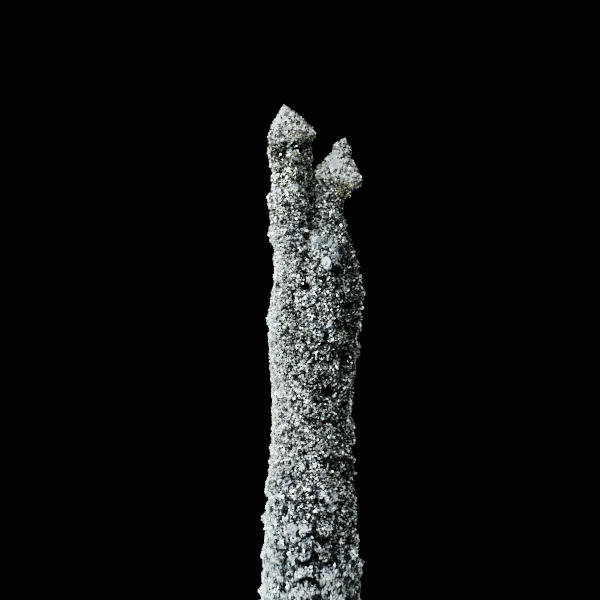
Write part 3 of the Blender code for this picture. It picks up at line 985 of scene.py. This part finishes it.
def tints_for(places, normals, shade, calm, dice):
    """A base colour for each crystal: its hue, and how light its metal is under painted shade and light."""
    z = places[:, 2]
    foot = foot_share(z)
    hue = hues_for(places, normals, calm, dice)
    value = dice.normal(1.0, LUCK * (1 - 0.6 * calm), len(places))
    value += PATCHY * patches(places, 0.22, 0.7) + CALM_LIGHTER * calm
    value -= FOOT_DARKER * foot * (1 - 0.5 * calm)
    upper = smoothstep(z, *UPPER_STARTS) * smoothstep(z, *UPPER_ENDS)
    value -= UPPER_LEFT_DARKER * upper * smoothstep(-normals[:, 0], 0.1, 0.8)
    # Painted shadow: crystals near the chosen spots under the tips and in the fork are darkened.
    shade = shade * (1 - 0.3 * calm) + 0.8 * near_pixels(places, SHADOWED_PIXELS)
    value = np.clip(value, *LIGHTNESS) * (1 - BLACKENED * smoothstep(shade, *SHADE_ENDS))
    dark = dice.random(len(places)) < DARK_SHARE * (1 - 0.4 * calm) * (1 - 0.7 * foot)
    value = np.where(dark, value * DARK_LIGHTNESS, value)
    return np.clip(hue * value[:, None], 0.02, 0.95)


levels = 1 - BLACKENED * smoothstep(np.array((0.0, 0.3, 0.6, 0.9)), *SHADE_ENDS)
print("shades of 0, 0.3, 0.6 and 0.9 leave", levels.round(2), "of a crystal's colour")

# %% [markdown]
# Lamps alone don't darken the gaps of such a fine coat enough, so each crystal also has a painted shade of
# its own, which darkens its colour. It adds up from several parts. Crystals in hollows, small ones between
# the large ones, those under a ledge's lip and those on the right side, away from the key lamp, are painted
# darker. Those on ground that stands out get painted light, and the upper stems get less painted shade
# than the rest.

# %% The crystals' shade
# Painted shade: sheltered crystals, those in hollows, small ones between large ones, those under a ledge's
# lip and those on the right side are darker.
SHELTER_SHADE = 0.8
HOLLOW_SHADE, SMALL_SHADE = 0.4, 0.6
LEDGE_SHADE = 0.7  # under a ledge's lip
RIGHT_SHADE, RIGHT_SHADE_FOOT = 0.2, 0.25  # on the right side, and how much more at its foot
# Painted light: crystals on ground that stands out, and on the upper stems, get less shade.
STANDING_BRIGHT, STANDING_BRIGHT_FOOT = 0.6, 1.1  # how much less for each mm that the surface stands out
LIT_STEM_HEIGHTS, LIT_STEM_SHARE = (52, 62), 0.68  # where the stems begin, and how much less there, as a share


def shade_at(places, normals, level, stature, calm, extra, dice):
    """How much painted shade darkens the crystal at each place."""
    z = places[:, 2]
    foot = foot_share(z)
    shade = SHELTER_SHADE * sheltered(places, normals, dice) + extra
    shade += (HOLLOW_SHADE * (1 - level) + SMALL_SHADE * (1 - stature)) * (1 - 0.6 * foot)
    shade += LEDGE_SHADE * foot * (1 - ledges(places)) * (1 - 0.5 * calm)
    shade -= (STANDING_BRIGHT + (STANDING_BRIGHT_FOOT - STANDING_BRIGHT) * foot) * standing_at(places)
    leftward = smoothstep(-normals[:, 0], 0.0, 0.7)
    shade *= 1 - LIT_STEM_SHARE * smoothstep(z, *LIT_STEM_HEIGHTS) * (1 - 0.7 * leftward) - 0.2 * foot
    return shade + (RIGHT_SHADE + RIGHT_SHADE_FOOT * foot) * smoothstep(normals[:, 0], 0.4, 0.95)


print("a wholly sheltered crystal in a hollow has a shade of", SHELTER_SHADE + HOLLOW_SHADE)

# %% [markdown]
# Now the coat can grow. Crystals are seated at different depths, with small ones deeper between the large
# ones. Those with much room have their pick of more shapes. The left side is calm: its crystals stand more
# evenly and are a little frosted, and their colours have less painted shade and some painted light, so
# that it stays pale where the rest glitters.

# %% Growing the coat
REACH_OF_ROOM = 0.78  # from the middle of a crystal to a corner, as a share of its room
GRAIN_FORM = (0.65, 0.9, 1.35)  # how wide, deep and long a crystal is
SIZE_LUCK, LENGTH_LUCK = (0.85, 1.15), (0.8, 1.2)  # what sizes and long crystals' lengths are multiplied by
LEAN_OUT, LEAN_SPREAD = 0.25, 0.2  # how far long crystals lean outwards, and stray from that
SHAPE_SHARES = (0.4, 0.45, 0.15)  # of octahedra, cubes and cuboctahedra
LARGE_ROOM = 0.45  # crystals with more room than this, in mm, have their pick of more shapes
LONG_SHARE, LONG_STRETCH = 0.9, 1.4  # of the foot's crystals, and how much they are stretched
SEAT_LOW, SEAT_HIGH, RIGHT_HIGHER = -0.25, 0.3, 0.35  # how crystals are seated, as shares of their reach
SMALL_SINK, TIP_SINK = 0.09, 0.05  # how much deeper small crystals and the tips' crystals sit, in mm
HOLLOW_DEPTH = 0.08  # of the dips in the coat, in mm
EVENED = 0.6  # the share of the dips that the calm side lacks
FROST_LUCK, CALM_FROST = 0.6, 0.7
FOOT_CALM = 0.4  # the foot's calm, as a share of the left side's


def coat_on(places, normals, rooms, dice, extra_shade=0.0, sunk=0.0):
    """A crystal at each place, sized by its room."""
    count = len(places)
    foot = foot_share(places[:, 2])
    calm = np.maximum(calm_at(places), FOOT_CALM * foot)

    reach = rooms * (REACH_OF_ROOM + 0.05 * calm) * dice.uniform(*SIZE_LUCK, count)
    upwards = np.array((0.0, 0.0, 1.0)) + normals * LEAN_OUT
    long = dice.random(count) < foot * LONG_SHARE
    pointing = turns_pointing(upwards, LEAN_SPREAD, dice)
    turns = np.where(long[:, None, None], pointing, random_turns(count, dice))
    scales = reach[:, None] * np.array(GRAIN_FORM) * dice.uniform(*SIZE_LUCK, (count, 3))
    scales[:, 2] *= np.where(long, LONG_STRETCH * dice.uniform(*LENGTH_LUCK, count), 1.0)
    shapes = dice.choice((OCTAHEDRON, CUBE, CUBOCTAHEDRON), count, p=SHAPE_SHARES)
    large_shapes = dice.choice((OCTAHEDRON, CUBE, CUT_CUBE, CUT_OCTAHEDRON), count)
    shapes = np.where(rooms > LARGE_ROOM, large_shapes, shapes)
    shapes = np.where(long, CUT_OCTAHEDRON, shapes)

    level = evenness(places) * (1 - EVENED * calm) + EVENED * calm
    seat_high = SEAT_HIGH + RIGHT_HIGHER * smoothstep(normals[:, 0], -0.4, 0.7)
    rise = dice.uniform(SEAT_LOW, seat_high, count) * reach + HOLLOW_DEPTH * (level - 0.7)
    stature = smoothstep(rooms / room_growth(places), 0.7 * ROOM, 1.05 * ROOM)
    rise -= SMALL_SINK * (1 - stature) + sunk
    shade = shade_at(places, normals, level, stature, calm, extra_shade, dice)
    tints = tints_for(places, normals, shade, calm, dice)
    frost = FROST_LUCK * dice.random(count) + CALM_FROST * calm
    return Crystals(places + normals * rise[:, None], turns, scales, shapes, tints, frost)


coat = coat_on(column_spots, column_normals, column_rooms, dice_for("column coat"))
coat = coat + coat_on(tip_spots, tip_normals, tip_rooms, dice_for("tip coat"), tip_shade, TIP_SINK)
print("the coat has", len(coat.places), "crystals")

# %% [markdown]
# ## The druse on the tips
#
# Growth on a large crystal's face often starts anew as a small crystal that lies exactly as the large one
# does. Sunk almost to its own face, it shows as a triangular plate. Others lie at random, and show as fine
# grit. Many are black, painted shade that stands for the shade in pits, and the others get a painted shade
# of their own tip. All of them are thin near the top corner and thicker further down, and one smooth spot
# stays free of them.

# %% The druse on the tips
DRUSE = {  # how many are tried, the share of black ones, and the shade of the others
    "left_tip": (4200, 0.5, 0.22),
    "right_tip": (3600, 0.33, 0.1),
    "right_tip_cap": (700, 0.33, 0.14),
}
# Painted shade of the black druse that stands for pits.
PIT_SHADE = 0.9
DRUSE_REACH, LARGEST_DRUSE = 0.15, 0.6  # mm
DRUSE_RISE = 0.11  # how far druse may be lifted, in mm
PARALLEL_SHARE = 0.35
PARALLEL_SINK, RANDOM_SINK = 1 / math.sqrt(3), 0.62  # as a share of the reach
SMALL_AT_EDGES = 0.5  # how near an edge druse grows, as a share of its reach
SMOOTH_PIXEL, SMOOTH_RADIUS = (335, 164), 0.9  # the spot left free on the right tip, and its radius in mm
smooth_spot, _ = seen_at(*SMOOTH_PIXEL, whole_tree)
dice = dice_for("druse")
druse = []
for name, tip in tips.items():
    count, pit_share, other_shade = DRUSE[name]
    spots, normals = spots_on(tip_meshes[name], count, dice)
    own = (spots - tip.middle) @ tip.axes.T
    down = 1 - own[:, 2] / tip.reach
    reach = np.minimum(DRUSE_REACH * np.exp(dice.exponential(0.3, count)), LARGEST_DRUSE)
    parallel = dice.random(count) < PARALLEL_SHARE
    rise = dice.uniform(0.0, DRUSE_RISE, count)
    rise -= reach * np.where(parallel, PARALLEL_SINK, RANDOM_SINK)
    scales = np.repeat(reach[:, None], 3, axis=1)
    aligned = np.repeat(tip.axes.T[None], count, axis=0)
    turns = np.where(parallel[:, None, None], aligned, random_turns(count, dice))
    pit = dice.random(count) < pit_share + 0.15 * smoothstep(down, 0.2, 0.8)
    tints = tints_for(spots, normals, np.where(pit, PIT_SHADE, other_shade), np.zeros(count), dice)
    places = spots + normals * rise[:, None]
    batch = Crystals(places, turns, scales, np.full(count, OCTAHEDRON), tints, dice.random(count))
    to_edge = np.sort(np.abs(own), axis=1)[:, 0]
    grows = to_edge > reach * SMALL_AT_EDGES
    grows &= dice.random(count) < 0.3 + 0.7 * smoothstep(down, 0.15, 0.6)
    grows &= np.linalg.norm(spots - smooth_spot, axis=1) > SMOOTH_RADIUS
    druse.append(batch.where(grows))
for batch in druse:
    coat = coat + batch
print("the tips' druse has", sum(len(batch.places) for batch in druse), "crystals")

# %% [markdown]
# ## Larger crystals
#
# A few crystals of one to one and a half millimetres stand among the small ones and show whole smooth
# faces, pale blue and frosted. They catch the eye, so they aren't left to chance: they are placed where
# they are seen, by the pixel, as the swellings are.

# %% Places of larger crystals
LARGE_PIXELS = (  # x, y, reach in mm, shape
    (322, 243, 0.85, CUT_CUBE),
    (315, 240, 0.6, CUT_CUBE),
    (334, 245, 0.75, CUT_OCTAHEDRON),
    (337, 257, 0.7, CUBE),
    (329, 263, 0.75, CUT_CUBE),
    (299, 170, 0.75, CUT_CUBE),
    (297, 157, 0.45, CUT_CUBE),
    (297, 186, 0.55, CUT_CUBE),
    (291, 151, 0.6, OCTAHEDRON),
    (296, 299, 0.5, CUBE),
    (277, 191, 0.6, CUT_CUBE),
    (347, 290, 0.5, OCTAHEDRON),
    (343, 236, 0.45, OCTAHEDRON),
    (320, 333, 0.55, CUT_CUBE),
    (331, 326, 0.5, CUBE),
    (333, 497, 0.7, CUT_CUBE),
    (332, 508, 0.6, OCTAHEDRON),
    (293, 531, 0.75, CUT_CUBE),
    (303, 529, 0.65, CUBE),
)
print(len(LARGE_PIXELS), "larger crystals have chosen places")

# %% [markdown]
# A ray from the camera finds the surface that carries each of them. The crystal is sunk in there and turned
# at random, and smaller ones grow round it that lie as it does, as they often do on real pyrite. Larger
# crystals of the coat's own kind are scattered all round. Each grows where a small one stands, and hides
# most of it.

# %% Larger crystals
COMPANIONS, COMPANION_SIZES = 6, (0.35, 0.65)  # of the large crystal's own size
COMPANION_DISTANCE = 0.75  # as a share of the large crystal's reach
LARGE_TILT = 0.35  # how far a group's first turn strays from upright, before it is turned at random
LARGE_SINK = 0.6  # how deep a larger crystal and its companions sit, as a share of their reach
LARGE_LIGHTNESS, LARGE_FROST = (0.65, 0.95), 0.9
RANDOM_LARGE, RANDOM_LARGE_GROWTH = 110, (1.3, 1.9)  # how many, and what their rooms are multiplied by
RANDOM_LARGE_ROOM, RANDOM_LARGE_SINK = 0.5, 0.15  # their largest room and their depth in mm


def large_at(place, normal, reach, shape, dice):
    """A crystal with smaller ones of its own shape round it that lie as it does."""
    sizes = reach * np.append(1.0, dice.uniform(*COMPANION_SIZES, COMPANIONS))
    count = len(sizes)
    upright = turns_pointing(normal[None], LARGE_TILT, dice)[0]
    turns = random_turns(1, dice)[0] @ np.repeat(upright[None], count, axis=0)
    aside = np.cross(dice.normal(size=(count, 3)), normal)
    aside *= (COMPANION_DISTANCE * reach / np.linalg.norm(aside, axis=1))[:, None]
    aside[0] = 0.0
    places = place + aside - normal * sizes[:, None] * LARGE_SINK
    scales = sizes[:, None] * dice.uniform(*SIZE_LUCK, (count, 3))
    tints = BLUISH * dice.uniform(*LARGE_LIGHTNESS, (count, 1))
    frost = np.full(count, LARGE_FROST)
    return Crystals(places, turns, scales, np.full(count, shape), tints, frost)


dice = dice_for("larger crystals")
for x, y, reach, shape in LARGE_PIXELS:
    place, normal = seen_at(x, y, whole_tree)
    coat = coat + large_at(place, normal, reach, shape, dice)

chosen = dice.choice(len(column_spots), RANDOM_LARGE, replace=False)
large_rooms = column_rooms[chosen] * dice.uniform(*RANDOM_LARGE_GROWTH, RANDOM_LARGE)
large_rooms = np.minimum(large_rooms, RANDOM_LARGE_ROOM)
large_spots, large_normals = column_spots[chosen], column_normals[chosen]
coat = coat + coat_on(large_spots, large_normals, large_rooms, dice, sunk=RANDOM_LARGE_SINK)
print("with the larger ones there are", len(coat.places), "crystals")

# %% [markdown]
# ## From crystals to meshes
#
# The points of one shape are copied for all of its crystals at once. Each crystal carries its colour and
# frost as attributes of its points. It also has a small square of its own in a UV map, which lets a baked
# picture hold one colour for each crystal.
#
# Crystals at the rim of the foot are cut off level with it, as a saw would: every point below the cut is
# lifted onto it.

# %% Joining crystals
CELL_MARGIN = 0.18  # of each crystal's square in the UV map, as a share of it


def carry(mesh, name, kind, field, values):
    """Puts a value on each of the mesh's points, for its material to read."""
    layer = mesh.attributes.new(name, kind, "POINT")
    layer.data.foreach_set(field, values.astype(np.float32).ravel())


def squares(cells, size, side):
    """UV corners for faces with this many corners, each inside the square of its own crystal."""
    angle = np.arange(size) * math.tau / size + 0.3
    ring = np.stack([np.cos(angle), np.sin(angle)], 1) * (0.5 - CELL_MARGIN) + 0.5
    origin = np.stack([cells % side, cells // side], 1)
    return ((origin[:, None] + ring[None]) / side).reshape(-1, 2)


def joined_mesh(name, crystals):
    """All the crystals as one mesh with tint and frost on its points and a square each in a UV map."""
    points, tint, frost, faces, cells = [], [], [], {}, {}
    start = 0
    side = math.ceil(math.sqrt(len(crystals.places)))
    for number, (unit, groups) in enumerate(SHAPES.values()):
        mine = np.flatnonzero(crystals.shapes == number)
        if not len(mine):
            continue
        scaled = unit[None] * crystals.scales[mine][:, None]
        placed = np.einsum("nij,nvj->nvi", crystals.turns[mine], scaled) + crystals.places[mine][:, None]
        points.append(placed.reshape(-1, 3))
        tint.append(np.repeat(crystals.tints[mine], len(unit), axis=0))
        frost.append(np.repeat(crystals.frost[mine], len(unit)))
        offsets = start + np.arange(len(mine)) * len(unit)
        for size, group in groups.items():
            faces.setdefault(size, []).append((offsets[:, None, None] + group[None]).reshape(-1, size))
            cells.setdefault(size, []).append(np.repeat(mine, len(group)))
        start += len(mine) * len(unit)
    points = np.concatenate(points)
    points[:, 2] = np.maximum(points[:, 2], 0.0)
    groups = [np.concatenate(faces[size]) for size in faces]
    mesh = mesh_from(name, points, groups)

    uv = [squares(np.concatenate(cells[size]), size, side) for size in faces]
    layer = mesh.uv_layers.new(name="OFBake")
    layer.uv.foreach_set("vector", np.concatenate(uv).astype(np.float32).ravel())

    colours = np.concatenate([np.concatenate(tint), np.ones((len(points), 1))], axis=1)
    carry(mesh, "tint", "FLOAT_COLOR", "color", colours)
    carry(mesh, "frost", "FLOAT", "value", np.concatenate(frost))
    return mesh


print("each crystal uses the middle", round(100 * (1 - 2 * CELL_MARGIN)), "% of its square")

# %% [markdown]
# The coat becomes six meshes, one for each side of the column, so that none is too heavy. A few crystals
# that would stand out too far past the solid's box are left off.

# %% The coat's meshes
SIDES = ("front", "front_right", "back_right", "back", "back_left", "front_left")
MOST_OUTSIDE = 0.3  # how far beyond the solid's box a crystal may reach, in mm

reach = coat.scales.max(1)[:, None]
near_enough = (coat.places + reach < high + MOST_OUTSIDE).all(1)
near_enough &= (coat.places[:, :2] - reach > low[:2] - MOST_OUTSIDE).all(1)
print((~near_enough).sum(), "crystals would reach too far out and are left off")
coat = coat.where(near_enough)
sixth = np.round(np.arctan2(coat.places[:, 0], -coat.places[:, 1]) / (math.tau / 6)).astype(int) % 6
coat_pieces = []
for number, side in enumerate(SIDES):
    mesh = joined_mesh(f"coat_{side}", coat.where(sixth == number))
    coat_pieces.append(linked(f"coat_{side}", mesh))
    print(f"coat_{side} has", sum(len(face.vertices) - 2 for face in mesh.polygons), "triangles")

# %% [markdown]
# ## Materials
#
# Shader maths reads best as maths, so `Socket` wraps one output of a node, and Python's operators on it add
# Math nodes. The reflected forms let a number stand first, as in `1 - mask`.

# %% Sockets that can be reckoned with
class Socket:
    """One output of a node. Adding, multiplying and so on make Math nodes."""

    def __init__(self, maker, output):
        self.maker, self.output = maker, output

    def maths(self, operation, first, second):
        return self.maker.node("ShaderNodeMath", {"operation": operation}, {0: first, 1: second})

    def __add__(self, other):
        return self.maths("ADD", self, other)

    __radd__ = __add__

    def __mul__(self, other):
        return self.maths("MULTIPLY", self, other)

    __rmul__ = __mul__

    def __sub__(self, other):
        return self.maths("SUBTRACT", self, other)

    def __rsub__(self, other):
        return self.maths("SUBTRACT", other, self)

    def clamped(self, low=0.0, high=1.0):
        return self.maker.node("ShaderNodeClamp", {}, {0: self, 1: low, 2: high})


print("a socket can be added, subtracted, multiplied and clamped")

# %% [markdown]
# `Maker` holds one material. Any node comes from its `node`, which takes the node's type, its settings,
# which are set first, and the values or links of its sockets. Colours go through Mix nodes, because a Math
# node would turn them grey.

# %% A maker of materials
class Maker:
    """Builds one material around its Principled shader."""

    def __init__(self, name):
        self.material = bpy.data.materials.new(name)
        self.material.use_nodes = True
        self.tree = self.material.node_tree
        self.shader = self.tree.nodes["Principled BSDF"]

    def node(self, kind, settings, sockets, output=0):
        made = self.tree.nodes.new(kind)
        for setting, value in settings.items():
            setattr(made, setting, value)
        for socket, value in sockets.items():
            self.feed(made.inputs[socket], value)
        return Socket(self, made.outputs[output])

    def feed(self, target, value):
        if isinstance(value, Socket):
            self.tree.links.new(value.output, target)
        else:
            target.default_value = value

    def set(self, **sockets):
        """Feeds the Principled shader's own sockets, named with _ for a space."""
        for name, value in sockets.items():
            self.feed(self.shader.inputs[name.replace("_", " ")], value)

    def report(self):
        print(self.material.name, "has", len(self.tree.nodes), "nodes")

    def mix(self, factor, first, second):
        """A colour between two colours. Inputs 0, 6 and 7 of a Mix node are its factor and its colours."""
        sockets = {0: factor, 6: (*first, 1.0), 7: (*second, 1.0)}
        return self.node("ShaderNodeMix", {"data_type": "RGBA"}, sockets, output=2)

    def attribute(self, name, output):
        return self.node("ShaderNodeAttribute", {"attribute_name": name}, {}, output=output)

    def noise(self, for_each_mm, detail):
        """A soft random pattern with this many patches for each mm."""
        place = self.node("ShaderNodeTexCoord", {}, {}, output="Object")
        sockets = {"Vector": place, "Scale": for_each_mm / MM, "Detail": detail}
        return self.node("ShaderNodeTexNoise", {}, sockets, output="Fac")

    def bump(self, strength, depth, height):
        """A normal that makes the surface look uneven by this depth in mm."""
        sockets = {"Strength": strength, "Distance": depth * MM, "Height": height}
        return self.node("ShaderNodeBump", {}, sockets)


print("a maker can", ", ".join(name for name in vars(Maker) if name[0] != "_"))

# %% [markdown]
# ### The coat's metal
#
# Fresh pyrite is a bright metal. In this light it looks silver rather than gold. Each crystal has its own
# tint, which the mesh carries, and its own frost: etched faces are rougher and scatter light as a dull
# surface does, so they are paler from every side. Over that lie a thin tarnish in patches and a fine grain
# that breaks up the reflections, as the growth lines on real faces do.

# %% The coat's metal
coat_metal = Maker("coat_metal")
tarnish = coat_metal.noise(0.5, 4.0)
grain = coat_metal.noise(9.0, 2.0)
tint = coat_metal.attribute("tint", "Color")
frost = coat_metal.attribute("frost", "Fac")
coat_metal.set(
    Base_Color=tint,
    Metallic=(1.0 - frost * 0.4).clamped(),
    Roughness=(0.23 + frost * 0.22 + tarnish * 0.14).clamped(0.1, 0.8),
    Normal=coat_metal.bump(0.25, 0.02, grain),
)
coat_metal.report()

# %% [markdown]
# ### The column under the coat
#
# Between the crystals shows a rough crust of the same mineral. Its near-black colour is painted shade for
# the deep gaps between the crystals. So little of it is seen that one speckled material does, with no
# painting by hand.

# %% The column's crust
crust = Maker("crust")
speckle = crust.noise(3.0, 4.0)
# Painted shade: the crust's colours are near black, as the gaps between crystals are in shade.
crust.set(
    Base_Color=crust.mix(speckle, (0.003, 0.003, 0.004), (0.03, 0.032, 0.032)),
    Metallic=0.85,
    Roughness=(0.5 + speckle * 0.3).clamped(),
    Normal=crust.bump(0.6, 0.08, speckle),
)
crust.report()

# %% [markdown]
# ### The tips' faces
#
# The clean faces are darker and duller than the coat, because fine growth lines scatter the light. The
# lines are too fine for the mesh, so a bumpy grain stands for them. The hue goes from bluish to olive in
# soft clouds.

# %% The tips' faces
face_metal = Maker("face_metal")
cloud = face_metal.noise(0.7, 3.0)
grain = face_metal.noise(7.0, 3.0)
face_metal.set(
    Base_Color=face_metal.mix(cloud, (0.33, 0.37, 0.395), (0.44, 0.47, 0.445)),
    Metallic=0.4,
    Roughness=(0.5 + grain * 0.25).clamped(),
    Normal=face_metal.bump(0.4, 0.03, grain),
)
face_metal.report()

# %% [markdown]
# ## Putting the pieces in place
#
# Every piece stands where it was made and rides on the part's one body. The column takes the place of the
# solid. The tips get smooth shading inside their growth plates and a sharp edge between them.

# %% Putting the pieces in place
SHARP_ANGLE = 20.0  # an edge stays sharp where its two faces differ by more than this, in degrees

column = linked("column", column_mesh)
column.data.materials.clear()
column.data.materials.append(crust.material)
column.data.shade_smooth()
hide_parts(NODE)
tip_pieces = [linked(name, mesh) for name, mesh in tip_meshes.items()]
for piece in tip_pieces:
    piece.data.materials.append(face_metal.material)
    piece.data.shade_smooth()
    piece.data.set_sharp_from_angle(angle=math.radians(SHARP_ANGLE))
for piece in coat_pieces:
    piece.data.materials.append(coat_metal.material)
for piece in (column, *tip_pieces, *coat_pieces):
    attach(piece, ROOT)
print(len(tip_pieces) + len(coat_pieces) + 1, "pieces ride on", ROOT)

# %% [markdown]
# ## Studio
#
# A large soft lamp at the left gives the glitter and leaves the right side dark. A second one at the front
# left fills in the front, and a weak one high in front shows what lies in the shade. One behind at the
# right draws the outline. A bright sky would be simpler, but it would reach every facet and take the
# glitter away.

# %% Lamps
LAMPS = {  # place in mm, width in mm, power in watts, colour
    "key": ((-343.0, 10.0, 205.0), 160.0, 2.7, (1.0, 1.0, 0.97)),
    "front_left": ((-190.0, -210.0, 230.0), 160.0, 1.3, (1.0, 1.0, 1.0)),
    "top": ((-10.0, -230.0, 389.0), 240.0, 0.5, (0.90, 0.96, 1.0)),
    "back": ((110.0, 330.0, 170.0), 200.0, 0.38, (1.0, 1.0, 1.0)),
}
AIM = Vector((0, 0, 45 * MM))

for name, (place, width, power, colour) in LAMPS.items():
    lamp = bpy.data.objects.new(name, bpy.data.lights.new(name, "AREA"))
    bpy.context.scene.collection.objects.link(lamp)
    lamp.data.shape = "SQUARE"
    lamp.data.size = width * MM
    lamp.data.energy = power
    lamp.data.color = colour
    lamp.location = Vector(place) * MM
    lamp.rotation_euler = (AIM - lamp.location).to_track_quat("-Z", "Y").to_euler()

watts = sum(power for _, _, power, _ in LAMPS.values())
print(len(LAMPS), "lamps of", round(watts, 2), "watts in all light the cluster")

# %% [markdown]
# The cluster stands on a small pale floor. It lies below the picture's frame, and throws a little light back
# up. Behind the cluster there is nothing but a nearly black world. The view's own contrast is turned up,
# which makes the glitter sharper.

# %% Floor and background
FLOOR_RADIUS = 56.0  # mm

bm = bmesh.new()
bmesh.ops.create_circle(bm, cap_ends=True, segments=96, radius=FLOOR_RADIUS * MM)
floor_mesh = bpy.data.meshes.new("floor")
bm.to_mesh(floor_mesh)
bm.free()
floor = linked("floor", floor_mesh)
pale = Maker("pale_floor")
pale.set(Base_Color=(0.72, 0.71, 0.69, 1.0), Roughness=0.8)
floor.data.materials.append(pale.material)
floor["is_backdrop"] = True

world = bpy.data.worlds.new("studio")
bpy.context.scene.world = world
world.use_nodes = True
world.node_tree.nodes["Background"].inputs["Color"].default_value = (0.0012, 0.0012, 0.0014, 1.0)
view = bpy.context.scene.view_settings
view.view_transform = "Filmic"
view.look = "High Contrast"
view.exposure = 0.3
print("the floor is", 2 * FLOOR_RADIUS, "mm wide")

# %% [markdown]
# ## The finished size
#
# The sizes of both boxes, the solid's and the dressed cluster's, are printed. The dressed cluster
# has to stay as large as the solid.

# %% The finished size
dressed_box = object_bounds()
boxes = {
    "cad": [[float(value) for value in corner] for corner in cad_box],
    "dressed": [[float(value) for value in corner] for corner in dressed_box],
}
for name, (lowest, highest) in boxes.items():
    print(name, [round(1000 * (h - l), 2) for l, h in zip(lowest, highest)], "mm")
